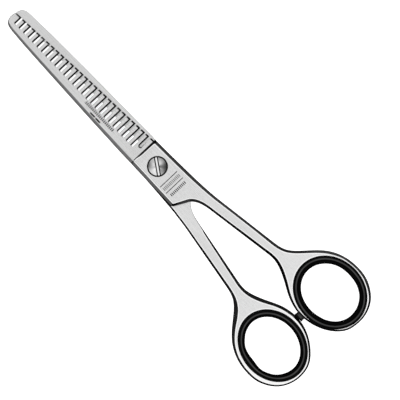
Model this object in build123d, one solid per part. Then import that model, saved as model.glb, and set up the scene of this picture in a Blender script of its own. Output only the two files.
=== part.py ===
from build123d import *
import math
import os

# Thinning shears, shut.  Millimetres.
# Origin: where the pivot axis meets the plane the shears lie on.
# +X runs to the blade tips, +Y to the spine of the comb blade, +Z up through the screw head.
# The comb half lies above the mid plane with its ring at -Y; the plain half lies below it
# with its ring at +Y.  Both handles and inserts are drawn on the comb half's side.

# ---- levels and lengths shared by the halves ----------------------------------------------
TIP_X = 75.15             # pivot to tip
Z_MID = 3.0               # plane where the two halves meet
RIDE_GAP = 0.02           # each half stands this far off that plane
COMB_RIDE = Z_MID + RIDE_GAP
PLAIN_RIDE = Z_MID - RIDE_GAP
STOCK_TOP = 6.0           # top of the comb half's pivot boss
RING_T = 4.2              # thickness of rings and shanks
LAYER_X = -18.0           # shanks leave their own layer here
JOIN_X = -50.0            # and are centred on the mid plane from here
BOSS_END_X = 7.65         # end of the pivot boss, start of the blades
EDGE_IN = 0.72            # 45 degree bevel round shanks, rings and boss
BELOW, ABOVE = -1, 8      # levels clear of everything, for cutting right through

# ---- rings and soft inserts ---------------------------------------------------------------
# Outline (x, y) round the end of each ring, in two curves:
# widest point to far end, then far end to the side facing the other ring.
RING_END = {
    "comb": [[(-76, -27.37), (-80, -26.95), (-83.6, -25.5), (-87, -22.9), (-89.2, -19.3),
              (-90.05, -14.6)],
             [(-90.05, -14.6), (-89.2, -9.3), (-86.6, -5.8), (-83.9, -3.7), (-80, -1.87),
              (-73.6, -0.72)]],
    "plain": [[(-76, -27.37), (-80, -26.9), (-83.5, -25.4), (-86.8, -22.7), (-88.9, -19.2),
               (-89.8, -14.6)],
              [(-89.8, -14.6), (-88.8, -9.4), (-86.1, -5.95), (-83.6, -3.95), (-80, -2.0),
               (-73.6, -0.72)]],
}
RING_TILT = 3.4           # degrees from +X towards +Y of the ovals' long axes
HOLE_CENTRE = {"comb": (-75.2, -13.95), "plain": (-74.92, -14.0)}
# half axes (long, short) of the insert's opening and of its lip
HOLE = {"comb": (11.28, 9.44), "plain": (11.18, 9.05)}
LIP = {"comb": (14.10, 12.25), "plain": (13.80, 11.54)}
RIM_OVER = 1.45           # the metal hole is this much wider than the insert's, all round
INSERT_H = 6.0
LIP_FILLET = 0.8
HOLE_FILLET = 1.3
BUMP_X = -73.6            # bump on the plain insert
BUMP_OUT = 11.75          # its axis, out from the oval's centre
BUMP_R = 3.4
BUMP_H = INSERT_H - 2.0
BUMP_INSET = 1.3          # it stops this far inside the lip's outline

# ---- pivot --------------------------------------------------------------------------------
BOLT_R = 2.5              # screw shoulder
BORE_R = 2.55             # bore in the comb half
THREAD_R = 1.96           # screw thread, over its crests
TAPPED_R = 2.0            # blind hole in the plain half
TAP_FLOOR = 0.5           # floor of that hole
SCREW_END = 0.62
HEAD_R = 3.65
HEAD_SEAT_Z = 5.2         # underside of the head
HEAD_RIM_Z = 5.75         # start of the dome, and floor of the driver slot
HEAD_TOP_Z = 6.75
DOME_MID = (2.6, 6.45)    # radius, z
DRIVER_W, DRIVER_ANGLE = 1.1, -33.5
CBORE_R = 3.9
CBORE_Z = 4.70
WASHER_R, WASHER_T = 3.75, 0.48
WASHER_PLAY = 0.06        # between washer and screw shoulder

# ---- bumper between the rings -------------------------------------------------------------
BUMPER_X = -74.0
BUMPER_R = 1.68
BUMPER_Y = 0.69           # outer face of the button
BUMPER_CHAMFER = 0.25
STEM_R = 1.0
STEM_L = 3.35             # from the button's outer face
SEAT_Y = -0.2             # seat and stem hole are cut towards -Y from here
SEAT_DEPTH = 1.3
STEM_HOLE_DEPTH = 2.5

# ---- blades -------------------------------------------------------------------------------
BLADE_ROOT_X = 6.8        # blades start inside the boss
SWEEP_X = (6.0, 77.0)     # cuts along a blade run between these
REACH_Y = 9               # and cuts across it reach this far each side
TOOTH_PITCH = 2.3154
SLOT_GAP = 0.70           # width of one slot between teeth
FIRST_SLOT_END = 11.95    # tip-side edge of the first full slot
SLOT_COUNT = 27
# short slot nearest the pivot
SHORT_SLOT_X, SHORT_SLOT_ROOT, SHORT_SLOT_GAP = 9.45, -0.2, 0.9

# outlines, (x, y): comb blade's +Y side, then plain blade's -Y side
SPINE = [(8, 6.09), (15, 6.07), (20, 5.98), (25, 5.90), (30, 5.80), (35, 5.68), (40, 5.56),
         (45, 5.43), (50, 5.29), (55, 5.17), (60, 5.02), (65, 4.84), (70, 4.57)]
SPINE_TIP = [(70, 4.57), (72, 4.40), (73, 4.19), (74, 3.70), (74.5, 3.15), (74.95, 2.25),
             (TIP_X, 0.9)]
BACK = [(8, -6.09), (15, -5.98), (20, -5.87), (30, -5.68), (40, -5.47), (50, -5.18),
        (60, -4.86), (70, -4.38)]
BACK_TIP = [(70, -4.38), (72.6, -4.1), (73.8, -3.5), (74.35, -2.85), (74.75, -1.9),
            (75.0, -1.05)]
# bevel along the comb blade's spine: x, outer y, inner y
SPINE_BEVEL = [(6.0, 6.09, 5.03), (15, 6.07, 4.99), (20, 5.98, 4.93), (25, 5.90, 4.89),
               (30, 5.80, 4.84), (35, 5.68, 4.75), (40, 5.56, 4.63), (45, 5.43, 4.55),
               (50, 5.29, 4.45), (55, 5.17, 4.34), (60, 5.02, 4.20), (65, 4.84, 4.06),
               (70, 4.57, 3.89), (72, 4.40, 3.74), (73, 4.19, 3.58), (74, 3.70, 3.0),
               (74.5, 3.15, 2.2), (75.0, 2.15, 1.2), (75.3, 0.6, -0.4)]
SPINE_BEVEL_MAX = 1.06
# bevel under the plain blade's back: x, outer y
BACK_BEVEL = [(6.0, -6.09), (20, -5.87), (30, -5.68), (40, -5.47), (50, -5.18), (60, -4.86),
              (70, -4.38), (73.5, -3.75)]
BACK_BEVEL_W = 0.7
# Cuts over the tooth ends: a shallow grind, then a short steep bevel.  Each is a section of
# (dy, dz) from the tooth tip line and the level of the face TOOTH_GRIND_IN inside it.
TOOTH_GRIND_IN = 0.85
TOOTH_GRIND = [(1.85, 0.36), (TOOTH_GRIND_IN, 0), (-1.0, -0.66), (-1.0, 0.36)]
TOOTH_BEVEL = [(0.65, 0.10), (-0.5, -1.05), (-0.5, 0.10)]
EDGE_LAND = 0.12          # height left square at the plain blade's cutting edge


# ---- helpers ------------------------------------------------------------------------------
def spline(points, start_dir, end_dir):
    return Spline(*[Vector(x, y, 0) for x, y in points], tangents=[start_dir, end_dir])


def chain_face(edges):
    """Face inside a closed chain of edges lying in XY."""
    return Face(Wire.combine([e.edge() for e in edges])[0])


def upright(face, z0, z1):
    """Extrude a face lying in XY from z0 to z1."""
    return extrude(face, amount=z1 - z0, dir=(0, 0, 1)).moved(Location((0, 0, z0)))


def polygon(points):
    return Face(Wire.make_polygon([Vector(*p) for p in points], close=True))


def xz_band(points, y0=-45.0, y1=45.0):
    """Side profile in XZ drawn right through in Y."""
    return extrude(polygon([(x, y0, z) for x, z in points]), amount=y1 - y0, dir=(0, 1, 0))


def wedge(stations):
    """Ruled solid through polygons of (y, z) at successive x."""
    return loft([polygon([(x, y, z) for y, z in section]) for x, section in stations],
                ruled=True)


def cut_wedges(body, stations):
    """Cut one wedge between each station and the next."""
    for near, far in zip(stations[:-1], stations[1:]):
        body = body - wedge([near, far])
    return body


def oval(centre, half_axes, z0, z1):
    tilt = math.radians(RING_TILT)
    plane = Plane(origin=(*centre, 0), x_dir=(math.cos(tilt), math.sin(tilt), 0),
                  z_dir=(0, 0, 1))
    return upright(Face(Wire.make_ellipse(*half_axes, plane)), z0, z1)


def grown(half_axes, amount):
    return tuple(half + amount for half in half_axes)


def flip(shape):
    """Half a turn about the X line in the mid plane: comb side to plain side."""
    shape = shape.moved(Location((0, 0, -Z_MID))).rotate(Axis.X, 180)
    return shape.moved(Location((0, 0, Z_MID)))


def only(shape):
    """The single solid, or the largest if there are several."""
    solids = shape.solids()
    return solids[0] if len(solids) == 1 else max(solids, key=lambda s: s.volume)


# ---- handle: boss, shank and ring ---------------------------------------------------------
def handle_edges(ring_end):
    outer_dir = (-1, -0.1525)      # along the shank's outer side, away from the pivot
    inner_dir = (1, 0.1636)        # along its inner side, towards the pivot
    neck_dir = (0.474, 0.881)      # up the end of the boss
    corner_x = BOSS_END_X - 1.35
    return [
        # rounded boss corner, then the outer side to the ring's widest point
        ThreePointArc((BOSS_END_X, -4.80), (BOSS_END_X - 0.42, -5.62), (corner_x, -6.0)),
        spline([(corner_x, -6.0), (-10, -6.66), (-24, -7.88)], (-1, -0.035), outer_dir),
        Line((-24, -7.88), (-48, -11.54)),
        spline([(-48, -11.54), (-53, -12.93), (-57, -16.35), (-60.5, -20.4),
                (-64.5, -24.03), (-69.5, -26.45), (-76, -27.37)], outer_dir, (-1, 0)),
        # round the ring
        spline(ring_end[0], (-1, 0), (0, 1)),
        spline(ring_end[1], (0, 1), (1, 0)),
        # back along the inner side to the boss
        spline([(-73.6, -0.72), (-70, -1.10), (-66, -2.36), (-62, -4.36),
                (-58, -6.22), (-53.2, -7.5), (-48, -7.0)], (1, 0), inner_dir),
        Line((-48, -7.0), (-25, -3.237)),
        spline([(-25, -3.237), (-20, -1.95), (-17.2, 0.1), (-16, 2.28)],
               inner_dir, neck_dir),
        Line((-16, 2.28), (-14.39, 5.27)),
        spline([(-14.39, 5.27), (-13.2, 6.2)], neck_dir, (1, 0)),
        spline([(-13.2, 6.2), (0, 6.17), (BOSS_END_X, 6.10)], (1, 0), (1, -0.012)),
        Line((BOSS_END_X, 6.10), (BOSS_END_X, -4.80)),
    ]


def shank_level(x, layer_z, ring_z):
    """Level at x of a face at layer_z by the boss and ring_z by the ring."""
    if x >= LAYER_X:
        return layer_z
    if x <= JOIN_X:
        return ring_z
    return layer_z + (ring_z - layer_z) * (LAYER_X - x) / (LAYER_X - JOIN_X)


def top_z(x):
    return shank_level(x, STOCK_TOP, Z_MID + RING_T / 2)


def low_z(x):
    return shank_level(x, COMB_RIDE, Z_MID - RING_T / 2)


def lies_along(edge, level):
    """True for an edge that follows the level and doesn't run straight across in Y."""
    points = [edge @ 0.0, edge @ 0.35, edge @ 0.5, edge @ 1.0]
    if not all(abs(p.Z - level(p.X)) < 1e-3 for p in points):
        return False
    return not (abs(points[0].X - points[3].X) < 1e-3
                and abs(points[1].X - points[0].X) < 1e-3)


def make_handle(side):
    plan = upright(chain_face(handle_edges(RING_END[side])), BELOW, ABOVE)
    profile = xz_band([(x, low_z(x)) for x in (-95, JOIN_X, LAYER_X, 10)] +
                      [(x, top_z(x)) for x in (10, LAYER_X, JOIN_X, -95)])
    body = only(plan & profile)
    body = only(chamfer([e for e in body.edges() if lies_along(e, top_z)], EDGE_IN))
    # the lower bevel leaves out the boss, which rides on the other half
    low = [e for e in body.edges()
           if lies_along(e, low_z) and max((e @ 0).X, (e @ 1).X) < LAYER_X + 1e-3]
    body = only(chamfer(low, EDGE_IN))
    # slope at the blade end of the boss, down from its top
    body = only(body - xz_band([(BOSS_END_X - 0.5, 6.0), (BOSS_END_X, 5.0),
                                (BOSS_END_X + 1, 5.0), (BOSS_END_X + 1, 7.0),
                                (BOSS_END_X - 0.5, 7.0)]))
    return only(body - oval(HOLE_CENTRE[side], grown(HOLE[side], RIM_OVER), BELOW, ABOVE))


# ---- blades -------------------------------------------------------------------------------
def tooth_y(x):
    """Line of the tooth tips."""
    return -5.30 + 0.0621 * (x - 8.0)


def root_y(x):
    """Line of the slot roots."""
    return 1.60 + 0.0050 * (x - 11.5)


def edge_y(x):
    """Cutting edge of the plain blade."""
    return -1.30 + 0.0039 * (x - 10.0)


def comb_top(x, y):
    """Face of the comb blade: thins towards the tip and falls away towards the teeth."""
    return 5.50 - 0.0133 * (x - 7.3) + 0.090 * y


def plain_low(x, y):
    return 2 * Z_MID - comb_top(x, -y)


def beyond_face(face_z, far_z):
    """Wedge from a blade's sloping face out to far_z."""
    return wedge([(x, [(-REACH_Y, face_z(x, -REACH_Y)), (REACH_Y, face_z(x, REACH_Y)),
                       (REACH_Y, far_z), (-REACH_Y, far_z)]) for x in SWEEP_X])


def spine_bevel_section(x, outer, inner):
    z = comb_top(x, inner)
    width = min(outer - inner, SPINE_BEVEL_MAX)
    past = width + 0.8
    return x, [(inner - 0.5, z + 0.5), (inner + width, z - width),
               (inner + past, z - past), (inner + past, z + 0.5)]


def back_bevel_section(x, outer):
    inner = outer + BACK_BEVEL_W
    z = max(plain_low(x, inner), 0)
    return x, [(inner + 0.5, z - 0.5), (outer - 0.5, z + BACK_BEVEL_W + 0.5),
               (outer - 0.5, z - 0.5)]


def slot_cutter(x, root, width, length):
    """Slot towards -Y from a round root."""
    radius = width / 2
    cutter = Box(width, length, 8).moved(Location((x, root - radius - length / 2, 5)))
    return cutter + Cylinder(radius, 8).moved(Location((x, root - radius, 5)))


def make_comb_blade():
    nose = (74.45, tooth_y(74.45))
    heel = (BLADE_ROOT_X, tooth_y(BLADE_ROOT_X))
    outline = [
        Line((BLADE_ROOT_X, 6.0), SPINE[0]),
        spline(SPINE, (1, 0), (1, -0.06)),
        spline(SPINE_TIP, (1, -0.06), (0, -1)),
        spline([(TIP_X, 0.9), (75.05, -0.35), nose], (0, -1), (-1, -0.6)),
        Line(nose, heel),
        Line(heel, (BLADE_ROOT_X, 6.0)),
    ]
    blade = upright(chain_face(outline), COMB_RIDE, 6.6)
    blade = blade - beyond_face(comb_top, 9)
    blade = cut_wedges(blade, [spine_bevel_section(*row) for row in SPINE_BEVEL])
    for section in (TOOTH_GRIND, TOOTH_BEVEL):
        stations = []
        for x in SWEEP_X:
            y = tooth_y(x)
            z = comb_top(x, y + TOOTH_GRIND_IN)
            stations.append((x, [(y + dy, z + dz) for dy, dz in section]))
        blade = blade - wedge(stations)
    blade = only(blade)
    for k in range(SLOT_COUNT):
        x = FIRST_SLOT_END + TOOTH_PITCH * k - SLOT_GAP / 2
        blade = blade - slot_cutter(x, root_y(x), SLOT_GAP, 10)
    return only(blade - slot_cutter(SHORT_SLOT_X, SHORT_SLOT_ROOT, SHORT_SLOT_GAP, 6))


def make_plain_blade():
    edge_start = (10.5, edge_y(10.5))
    outline = [
        Line((BLADE_ROOT_X, -6.0), BACK[0]),
        spline(BACK, (1, 0), (1, 0.055)),
        spline(BACK_TIP, (1, 0.055), (0.25, 1)),
        Line(BACK_TIP[-1], edge_start),
        spline([edge_start, (8.6, -0.2), (BLADE_ROOT_X, 3.4)], (-1, 0), (-0.4, 1)),
        Line((BLADE_ROOT_X, 3.4), (BLADE_ROOT_X, -6.0)),
    ]
    blade = upright(chain_face(outline), -0.5, PLAIN_RIDE)
    blade = blade - beyond_face(plain_low, -6)
    # nothing below z = 0
    blade = blade - Box(90, 30, 4).moved(Location((40, 0, -2)))
    # 45 degree grind under the cutting edge
    grind_z = PLAIN_RIDE - EDGE_LAND
    blade = blade - wedge([(x, [(edge_y(x) + 0.8, grind_z + 0.8),
                                (edge_y(x) - 2.8, grind_z - 2.8),
                                (edge_y(x) + 0.8, -4)]) for x in (9.0, SWEEP_X[1])])
    return only(cut_wedges(blade, [back_bevel_section(*row) for row in BACK_BEVEL]))


# ---- the two halves -----------------------------------------------------------------------
def bumper_disc(y, radius, depth):
    """Round bar on the bumper's axis, from y towards -Y."""
    plane = Plane(origin=(BUMPER_X, y, Z_MID), x_dir=(1, 0, 0), z_dir=(0, -1, 0))
    return extrude(plane * Circle(radius), amount=depth)


def make_comb_half():
    body = only(make_handle("comb") + make_comb_blade())
    body = body - Cylinder(BORE_R, 10).moved(Location((0, 0, 3)))
    body = body - Cylinder(CBORE_R, 4).moved(Location((0, 0, CBORE_Z + 2)))
    body = body - bumper_disc(SEAT_Y, BUMPER_R, SEAT_DEPTH)
    return only(body - bumper_disc(SEAT_Y, STEM_R, STEM_HOLE_DEPTH))


def make_plain_half():
    body = only(flip(make_handle("plain")) + make_plain_blade())
    return only(body - Cylinder(TAPPED_R, 6).moved(Location((0, 0, TAP_FLOOR + 3))))


# ---- pivot screw and washer ---------------------------------------------------------------
def make_screw():
    """Threaded end drawn plain, shoulder, head flange and slotted dome."""
    corners = [(0, HEAD_TOP_Z), (0, SCREW_END), (THREAD_R, SCREW_END), (THREAD_R, Z_MID),
               (BOLT_R, Z_MID), (BOLT_R, HEAD_SEAT_Z), (HEAD_R, HEAD_SEAT_Z),
               (HEAD_R, HEAD_RIM_Z)]
    lines = [Line(start, end) for start, end in zip(corners[:-1], corners[1:])]
    dome = spline([corners[-1], DOME_MID, corners[0]], (-0.4, 1), (-1, 0))
    profile = chain_face(lines[1:] + [dome, lines[0]])
    body = revolve(profile.rotate(Axis.X, 90), Axis.Z, 360)
    driver = Box(10, DRIVER_W, 2).rotate(Axis.Z, DRIVER_ANGLE)
    return only(body - driver.moved(Location((0, 0, HEAD_RIM_Z + 1))))


def make_washer():
    disc = Cylinder(WASHER_R, WASHER_T).moved(Location((0, 0, CBORE_Z + WASHER_T / 2)))
    return only(disc - Cylinder(BOLT_R + WASHER_PLAY, 2).moved(Location((0, 0, CBORE_Z))))


# ---- inserts and bumper -------------------------------------------------------------------
def level_edges(body):
    return [e for e in body.edges() if abs((e @ 0).Z - (e @ 0.5).Z) < 1e-4]


def make_insert(side, metal):
    """Oval tube with a lip over each face of the ring."""
    centre, lip, hole = HOLE_CENTRE[side], LIP[side], HOLE[side]
    body = only(oval(centre, lip, 0, INSERT_H) - oval(centre, hole, BELOW, ABOVE))
    # rims are told apart by length, close to pi times the sum of the half axes
    outer = [e for e in level_edges(body) if e.length > math.pi * sum(lip) * 0.97]
    body = only(fillet(outer, LIP_FILLET))
    inner = [e for e in level_edges(body) if e.length < math.pi * sum(hole) * 1.03]
    body = only(fillet(inner, HOLE_FILLET))
    if side == "plain":
        # low bump into the opening, on the side away from the other ring
        bump = Cylinder(BUMP_R, BUMP_H).moved(Location((BUMP_X, centre[1] - BUMP_OUT, Z_MID)))
        body = only(body + (bump & oval(centre, grown(lip, -BUMP_INSET), BELOW, ABOVE)))
        body = flip(body)
    return only(body - metal)


def make_bumper():
    """Button standing on the floor of its seat, with a stem into the ring."""
    button = bumper_disc(BUMPER_Y, BUMPER_R, BUMPER_Y - SEAT_Y + SEAT_DEPTH)
    rim = [e for e in button.edges() if abs((e @ 0).Y - BUMPER_Y) < 1e-3]
    button = only(chamfer(rim, BUMPER_CHAMFER))
    return only(button + bumper_disc(BUMPER_Y, STEM_R, STEM_L))


comb_half = make_comb_half()
plain_half = make_plain_half()
parts = {
    "comb_half": comb_half,
    "plain_half": plain_half,
    "pivot_screw": make_screw(),
    "pivot_washer": make_washer(),
    "insert_comb": make_insert("comb", comb_half),
    "insert_plain": make_insert("plain", plain_half),
    "bumper": make_bumper(),
}

os.makedirs("parts", exist_ok=True)
for name, shape in parts.items():
    export_step(shape, "parts/" + name + ".step")
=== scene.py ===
import math
import bpy
import numpy as np
from mathutils import Vector, Matrix


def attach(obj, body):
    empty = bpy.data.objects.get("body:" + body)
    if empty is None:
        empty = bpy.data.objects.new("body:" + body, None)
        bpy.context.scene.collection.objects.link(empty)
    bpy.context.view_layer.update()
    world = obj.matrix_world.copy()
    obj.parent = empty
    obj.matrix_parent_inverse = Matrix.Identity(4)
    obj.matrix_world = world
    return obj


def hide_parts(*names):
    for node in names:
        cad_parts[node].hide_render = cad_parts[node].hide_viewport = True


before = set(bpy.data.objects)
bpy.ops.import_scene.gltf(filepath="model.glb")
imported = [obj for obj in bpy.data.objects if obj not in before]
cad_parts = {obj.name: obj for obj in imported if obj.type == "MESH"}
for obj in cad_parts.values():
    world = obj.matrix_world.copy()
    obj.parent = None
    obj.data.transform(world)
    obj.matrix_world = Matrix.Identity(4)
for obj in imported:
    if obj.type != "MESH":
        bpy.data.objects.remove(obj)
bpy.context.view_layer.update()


MM = 0.001
GROW = 0.06
scene = bpy.context.scene
scene.view_settings.view_transform = "Standard"
scene.view_settings.look = "None"


# ------------------------------------------------------------------ materials
class Nodes:
    def __init__(self, name):
        self.mat = bpy.data.materials.new(name)
        self.mat.use_nodes = True
        self.t = self.mat.node_tree
        self.t.nodes.clear()
        self.out = self.t.nodes.new("ShaderNodeOutputMaterial")
        self.b = self.t.nodes.new("ShaderNodeBsdfPrincipled")
        self.t.links.new(self.b.outputs[0], self.out.inputs[0])

    def n(self, kind, **kw):
        node = self.t.nodes.new(kind)
        for k, v in kw.items():
            setattr(node, k, v)
        return node

    def link(self, a, b):
        self.t.links.new(a, b)

    def value(self, sock, v):
        sock.default_value = v


def ramp(N, fac, stops):
    r = N.n("ShaderNodeValToRGB")
    el = r.color_ramp.elements
    while len(el) > 1:
        el.remove(el[0])
    el[0].position = stops[0][0]
    el[0].color = (*stops[0][1], 1) if not isinstance(stops[0][1], float) else (stops[0][1],) * 3 + (1,)
    for p, c in stops[1:]:
        e = el.new(p)
        e.color = (c,) * 3 + (1,) if isinstance(c, float) else (*c, 1)
    N.link(fac, r.inputs[0])
    return r.outputs[0]


def steel(name, base, rough, grain=1.0, stretch=(1.0, 30.0, 30.0), scale=60.0, bump=0.02, painted_light_x=None, speck=0.0,
          metal=1.0):
    """Ground steel: fine lines along X, soft blotches, faint rubbed scratches; an optional ramp along X scales its
    colour, painting light and shade along the part.
    """
    N = Nodes(name)
    tc = N.n("ShaderNodeTexCoord")
    mp = N.n("ShaderNodeMapping")
    mp.inputs["Scale"].default_value = stretch
    N.link(tc.outputs["Object"], mp.inputs[0])
    fine = N.n("ShaderNodeTexNoise")
    fine.inputs["Scale"].default_value = scale
    fine.inputs["Detail"].default_value = 6.0
    fine.inputs["Roughness"].default_value = 0.65
    N.link(mp.outputs[0], fine.inputs["Vector"])
    blot = N.n("ShaderNodeTexNoise")
    blot.inputs["Scale"].default_value = 90.0
    blot.inputs["Detail"].default_value = 3.0
    N.link(tc.outputs["Object"], blot.inputs["Vector"])
    grit = N.n("ShaderNodeTexNoise")
    grit.inputs["Scale"].default_value = 1900.0
    grit.inputs["Detail"].default_value = 2.0
    N.link(tc.outputs["Object"], grit.inputs["Vector"])
    warp = N.n("ShaderNodeTexNoise")                     # rubbed scratches: thin bands of a twisted noise
    warp.inputs["Scale"].default_value = 240.0
    warp.inputs["Detail"].default_value = 2.0
    warp.inputs["Distortion"].default_value = 1.2
    N.link(tc.outputs["Object"], warp.inputs["Vector"])
    c0 = tuple(x * (1 - 0.05 * grain) for x in base)
    c1 = tuple(min(1, x * (1 + 0.05 * grain)) for x in base)
    col = ramp(N, fine.outputs[0], [(0.30, c0), (0.70, c1)])

    def times(c, f):
        mix = N.n("ShaderNodeMix", data_type="RGBA", blend_type="MULTIPLY")
        mix.inputs[0].default_value = 1.0
        N.link(c, mix.inputs[6])
        N.link(f, mix.inputs[7])
        return mix.outputs[2]
    col = times(col, ramp(N, blot.outputs[0], [(0.35, 0.97), (0.65, 1.0)]))
    col = times(col, ramp(N, grit.outputs[0], [(0.34, 1.0 - speck), (0.5, 1.0), (0.72, 1.0)]))
    col = times(col, ramp(N, warp.outputs[0], [(0.492, 1.0), (0.5, 1.0 - 0.9 * speck), (0.508, 1.0)]))
    if painted_light_x:
        sep = N.n("ShaderNodeSeparateXYZ")
        N.link(tc.outputs["Object"], sep.inputs[0])
        mr = N.n("ShaderNodeMapRange")
        mr.inputs["From Min"].default_value = -0.09
        mr.inputs["From Max"].default_value = 0.08
        N.link(sep.outputs["X"], mr.inputs["Value"])
        col = times(col, ramp(N, mr.outputs[0], [((x + 90) / 170.0, float(v)) for x, v in painted_light_x]))
    N.link(col, N.b.inputs["Base Color"])
    N.b.inputs["Metallic"].default_value = metal
    N.link(ramp(N, fine.outputs[0], [(0.3, rough * 0.85), (0.7, rough * 1.2)]), N.b.inputs["Roughness"])
    bp = N.n("ShaderNodeBump")
    bp.inputs["Strength"].default_value = 0.25
    bp.inputs["Distance"].default_value = bump * MM
    N.link(fine.outputs[0], bp.inputs["Height"])
    N.link(bp.outputs[0], N.b.inputs["Normal"])
    return N.mat


def rubber(name, base, rough, shine=0.5):
    N = Nodes(name)
    tc = N.n("ShaderNodeTexCoord")
    fine = N.n("ShaderNodeTexNoise")
    fine.inputs["Scale"].default_value = 2500.0
    fine.inputs["Detail"].default_value = 4.0
    N.link(tc.outputs["Object"], fine.inputs["Vector"])
    blot = N.n("ShaderNodeTexNoise")
    blot.inputs["Scale"].default_value = 220.0
    N.link(tc.outputs["Object"], blot.inputs["Vector"])
    N.link(ramp(N, blot.outputs[0], [(0.3, tuple(x * 0.8 for x in base)), (0.7, tuple(x * 1.4 for x in base))]),
           N.b.inputs["Base Color"])
    N.link(ramp(N, blot.outputs[0], [(0.3, rough * 0.85), (0.7, min(1.0, rough * 1.15))]), N.b.inputs["Roughness"])
    N.b.inputs["Specular IOR Level"].default_value = shine
    bp = N.n("ShaderNodeBump")
    bp.inputs["Strength"].default_value = 0.3
    bp.inputs["Distance"].default_value = 0.02 * MM
    N.link(fine.outputs[0], bp.inputs["Height"])
    N.link(bp.outputs[0], N.b.inputs["Normal"])
    return N.mat


# painted light: the steel's colour is lighter round the rings and darker along the shank and blade
PAINTED_LIGHT_X = [(-90, 0.98), (-74, 0.965), (-66, 0.80), (-50, 0.748), (-20, 0.742), (4, 0.73), (9, 0.66), (75, 0.668)]
M_COMB = steel("steel_comb", (0.97, 0.97, 0.97), 0.26, painted_light_x=PAINTED_LIGHT_X, speck=0.07)
M_PLAIN = steel("steel_plain", (0.97, 0.97, 0.97), 0.26, painted_light_x=PAINTED_LIGHT_X, speck=0.07)
M_BEVEL = steel("steel_bevel", (0.70, 0.70, 0.70), 0.10, grain=1.5, bump=0.01)
# painted shade: near-black steel for slot walls, tooth ends, and the screw's slot sides and rim
M_SLOT_SHADE = steel("steel_slot_wall_painted_shade", (0.035, 0.035, 0.035), 0.25, bump=0.01)
# painted shade: a darkened, half-metal grey copy of the steel for the upright sides
M_SIDE_SHADE = steel("steel_side_painted_shade", (0.36, 0.36, 0.36), 0.34, grain=1.2, stretch=(30.0, 30.0, 1.0), bump=0.015, metal=0.35)
# painted shade: steel darkened from X -27 on, for the crotch and step corners
M_SHADE = steel("steel_shaded_corner", (0.70, 0.70, 0.70), 0.16, bump=0.01,
                painted_light_x=[(-90, 1.0), (-32, 1.0), (-27, 0.045), (75, 0.045)])
# painted highlight: a lighter copy of the steel on the shallow lead-in facets
M_FACET_HIGHLIGHT = steel("steel_facet_painted_highlight", (0.97, 0.97, 0.97), 0.20, painted_light_x=[(-90, 1.0), (-66, 0.97), (-20, 0.95), (4, 0.94), (75, 0.90)])
M_SCREW = steel("steel_screw", (0.86, 0.86, 0.86), 0.16, stretch=(1, 1, 1), scale=700.0)
M_RUBBER = rubber("insert_rubber", (0.0012, 0.0012, 0.0012), 0.45, 0.06)
# painted highlight: lighter rubber along the insert's crest
M_CREST_HIGHLIGHT = rubber("insert_rubber_painted_highlight", (0.036, 0.036, 0.036), 0.40, 0.25)
# painted highlight with a real sheen: lighter, shinier rubber on the bumper's waist
M_BUMPER_HIGHLIGHT = rubber("bumper_waist_painted_highlight", (0.012, 0.012, 0.012), 0.34, 0.5)
M_WASHER = rubber("washer_nylon", (0.70, 0.69, 0.65), 0.5)


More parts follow.
